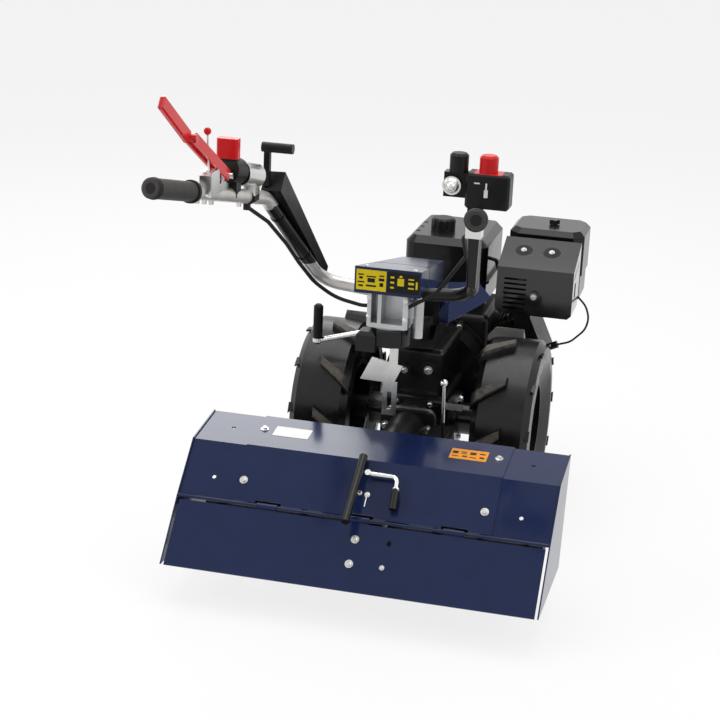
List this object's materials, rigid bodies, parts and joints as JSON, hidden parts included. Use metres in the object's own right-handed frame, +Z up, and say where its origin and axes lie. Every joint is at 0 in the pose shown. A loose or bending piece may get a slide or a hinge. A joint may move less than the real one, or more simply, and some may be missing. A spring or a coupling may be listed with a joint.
{
  "type": "walking tractor",
  "caption": "Two-wheeled walking tractor with a rear rotary tiller under a folded hood, a side-cylinder engine in front and a swivelling handlebar.",
  "frame": {"origin": "on the floor, below the middle of the machine's box", "axes": "+Y towards the machine's front, +X to its right, +Z up"},
  "size_m": [0.8, 1.6482, 1.1266],
  "materials": {
    "blue_sheet": "gloss powder coat",
    "black_paint": "satin black paint",
    "cast_grey": "as cast",
    "cast_black": "painted casting",
    "tyre": "matt rubber",
    "rim": "satin paint",
    "steel": "bright steel",
    "tube": "silver grey paint",
    "grip": "ribbed rubber",
    "black_plastic": "moulded plastic",
    "chrome": "bright plate",
    "engine_casting": "satin black paint on an alloy casting",
    "red_paint": "gloss red paint",
    "lead_rubber": "smooth rubber"
  },
  "bodies": {
    "tractor": {"gearbox_case": "cast_black", "pto_flange": "cast_grey", "handlebar_bracket": "cast_black", "engine_block": "engine_casting", "cylinder": "engine_casting", "head_cover": "engine_casting", "exhaust_pipe": "steel", "carburettor": "cast_grey", "recoil_starter": "black_plastic", "fuel_tank": "black_plastic", "fuel_cap": "black_plastic", "muffler_cover": "black_paint", "air_filter": "black_plastic", "engine_frame": "black_paint", "front_bumper": "black_paint", "drive_case": "cast_black", "skid": "black_paint", "tiller_hood": "blue_sheet", "hood_wing_left": "blue_sheet", "hood_wing_right": "blue_sheet", "side_plate_left": "blue_sheet", "side_plate_right": "blue_sheet", "body_cover": "blue_sheet", "shift_linkage": "chrome", "gear_lever": "chrome", "plug_lead": "lead_rubber", "depth_lever": "black_paint", "hinge_pin": "steel"},
    "wheel_right": {"tyre_right": "tyre", "rim_right": "rim", "hub_right": "cast_black"},
    "wheel_left": {"tyre_left": "tyre", "rim_left": "rim", "hub_left": "cast_black"},
    "rotor": {"rotor_shaft": "steel", "tines_left": "black_paint", "tines_right": "black_paint"},
    "flap": {"rear_flap": "blue_sheet"},
    "handlebar": {"column_housing": "cast_grey", "console": "blue_sheet", "handle_tube_left": "tube", "handle_tube_right": "tube", "grip_left": "grip", "grip_right": "grip", "control_box": "black_plastic", "release_lever": "black_paint", "lever_bracket": "chrome", "clutch_lever": "red_paint", "left_controls": "black_plastic", "cables": "lead_rubber"}
  },
  "joints": [
    {"name": "wheel_right_spin", "type": "hinge", "parent": "tractor", "child": "wheel_right", "pos_m": [0.212, 0.268, 0.225], "axis": [1, 0, 0], "continuous": true},
    {"name": "wheel_left_spin", "type": "hinge", "parent": "tractor", "child": "wheel_left", "pos_m": [-0.212, 0.268, 0.225], "axis": [1, 0, 0], "continuous": true},
    {"name": "rotor_spin", "type": "hinge", "parent": "tractor", "child": "rotor", "pos_m": [0, -0.212, 0.145], "axis": [1, 0, 0], "continuous": true},
    {"name": "flap_hinge", "type": "hinge", "parent": "tractor", "child": "flap", "pos_m": [0, -0.35, 0.199], "axis": [-1, 0, 0], "range_deg": [0, 50]},
    {"name": "handlebar_swivel", "type": "hinge", "parent": "tractor", "child": "handlebar", "pos_m": [0, -0.137, 0.56], "axis": [0, 0, 1], "range_deg": [-20, 20]}
  ]
}
